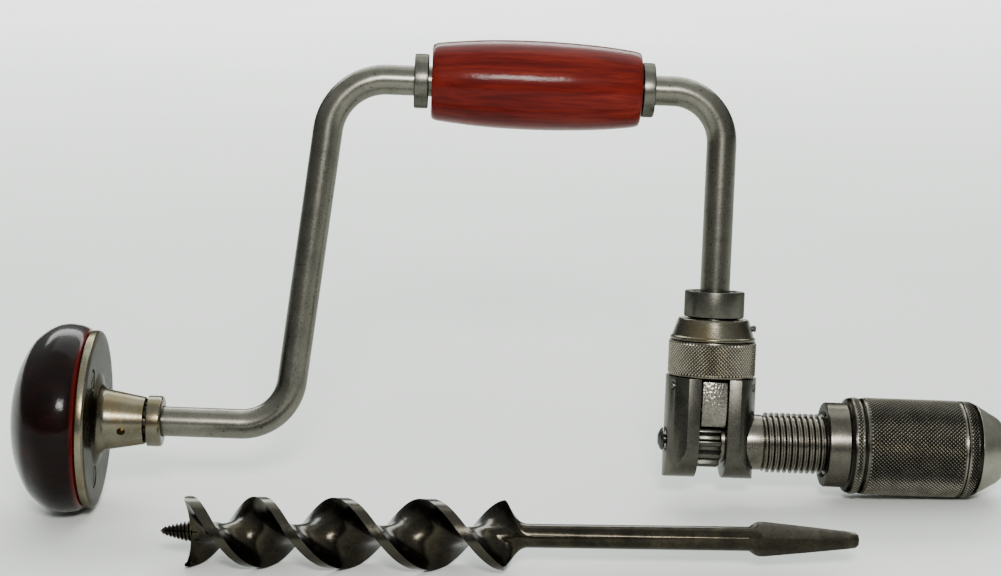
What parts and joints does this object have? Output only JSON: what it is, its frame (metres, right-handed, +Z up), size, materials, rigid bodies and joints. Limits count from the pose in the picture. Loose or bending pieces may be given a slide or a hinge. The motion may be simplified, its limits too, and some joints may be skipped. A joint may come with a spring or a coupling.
{
  "type": "brace and bit",
  "caption": "Hand brace with a cranked frame, ratchet head, ball-bearing pad and jaw screw chuck, with a loose twist auger bit beside it.",
  "frame": {"origin": "centre of the footprint of brace and bit together, on the floor", "axes": "+X from the head to the chuck along the brace, +Y to the back where the crank leans, +Z up"},
  "size_m": [0.4344, 0.1408, 0.2012],
  "materials": {
    "lacquered_head": "dark maroon lacquer, glossy",
    "lacquered_grip": "red-brown lacquer over dark grain, glossy",
    "satin_steel": "old polished steel with a thin olive-grey patina",
    "dark_steel": "darkened steel, knurled where a hand turns it",
    "warm_steel": "steel with a warm brassy patina",
    "spring_steel": "bright hard steel",
    "bronze": "plain bearing bronze",
    "bit_steel": "dark brown oxide, worn bright along the outer edges"
  },
  "bodies": {
    "frame": {"crank_rod": "satin_steel", "wrist_collar": "warm_steel", "head_nut": "dark_steel", "head_washer": "spring_steel", "grip_collar_left": "satin_steel", "grip_collar_right": "satin_steel", "ratchet_body": "satin_steel", "arm_collar": "satin_steel", "pawl_pin_front": "satin_steel", "pawl_pin_rear": "satin_steel", "pawl_spring": "spring_steel", "detent_spring": "spring_steel", "detent_ball": "spring_steel"},
    "head": {"head_knob": "lacquered_head", "head_plate": "satin_steel", "head_screw_1": "satin_steel", "head_screw_2": "satin_steel", "head_screw_3": "satin_steel", "head_bushing": "bronze", "wrist_ball_1": "spring_steel", "wrist_ball_2": "spring_steel", "wrist_ball_3": "spring_steel", "wrist_ball_4": "spring_steel", "wrist_ball_5": "spring_steel", "wrist_ball_6": "spring_steel", "wrist_ball_7": "spring_steel", "wrist_ball_8": "spring_steel"},
    "grip": {"grip_sleeve": "lacquered_grip"},
    "selector": {"selector_ring": "dark_steel", "selector_cap": "warm_steel", "selector_screw": "satin_steel"},
    "front_pawl": {"pawl_front": "dark_steel"},
    "rear_pawl": {"pawl_rear": "dark_steel"},
    "spindle": {"chuck_spindle": "satin_steel", "ratchet_wheel": "dark_steel", "spindle_end_screw": "dark_steel", "jaw_spring": "spring_steel"},
    "nose": {"chuck_nose": "dark_steel", "chuck_ball_1": "spring_steel", "chuck_ball_2": "spring_steel", "chuck_ball_3": "spring_steel", "chuck_ball_4": "spring_steel", "chuck_ball_5": "spring_steel", "chuck_ball_6": "spring_steel", "chuck_ball_7": "spring_steel", "chuck_ball_8": "spring_steel"},
    "shell": {"chuck_shell": "dark_steel"},
    "upper_jaw": {"jaw_upper": "dark_steel"},
    "lower_jaw": {"jaw_lower": "dark_steel"},
    "bit": {"auger_bit": "bit_steel"}
  },
  "joints": [
    {"name": "head_spin", "type": "hinge", "parent": "frame", "child": "head", "pos_m": [-0.1941, 0.02489, 0.04135], "axis": [0.9987, 0, -0.0506], "continuous": true},
    {"name": "grip_spin", "type": "hinge", "parent": "frame", "child": "grip", "pos_m": [0.01244, 0.05109, 0.18121], "axis": [0.9987, 0, -0.0506], "continuous": true},
    {"name": "selector_turn", "type": "hinge", "parent": "frame", "child": "selector", "pos_m": [0.08888, 0.03193, 0.06746], "axis": [0.0498, 0.1719, 0.9838], "range_deg": [-35, 35]},
    {"name": "front_pawl_swing", "type": "hinge", "parent": "frame", "child": "front_pawl", "pos_m": [0.08814, 0.02074, 0.05279], "axis": [-0.9987, 0, 0.0506], "range_deg": [0, 10], "stiffness_Nm_per_rad": 0.05, "springref_deg": -17.19},
    {"name": "rear_pawl_swing", "type": "hinge", "parent": "frame", "child": "rear_pawl", "pos_m": [0.08799, 0.03749, 0.04987], "axis": [0.9987, 0, -0.0506], "range_deg": [0, 10], "stiffness_Nm_per_rad": 0.05, "springref_deg": -17.19},
    {"name": "spindle_spin", "type": "hinge", "parent": "frame", "child": "spindle", "pos_m": [0.10552, 0.02489, 0.02618], "axis": [0.9987, 0, -0.0506], "continuous": true},
    {"name": "nose_slide", "type": "slide", "parent": "spindle", "child": "nose", "axis": [0.9987, 0, -0.0506], "range_m": [-0.00762, 0.00508]},
    {"name": "shell_turn", "type": "hinge", "parent": "nose", "child": "shell", "pos_m": [0.17043, 0.02489, 0.02289], "axis": [0.9987, 0, -0.0506], "range_deg": [-1080, 720]},
    {"name": "upper_jaw_slide", "type": "slide", "parent": "spindle", "child": "upper_jaw", "axis": [0.0498, 0.1719, 0.9838], "range_m": [-0.0044, 0.00293], "deforming": ["jaw_spring"]},
    {"name": "lower_jaw_slide", "type": "slide", "parent": "spindle", "child": "lower_jaw", "axis": [-0.0498, -0.1719, -0.9838], "range_m": [-0.0044, 0.00293]},
    {"name": "bit_lift", "type": "slide", "parent": "frame", "child": "bit", "axis": [0, 0, 1], "range_m": [0, 0.12]}
  ],
  "couplings": [
    {"joint": "nose_slide", "follows": "shell_turn", "m_per_rad": 0.00040425},
    {"joint": "upper_jaw_slide", "follows": "shell_turn", "m_per_rad": 0.0002334},
    {"joint": "lower_jaw_slide", "follows": "shell_turn", "m_per_rad": 0.0002334}
  ]
}
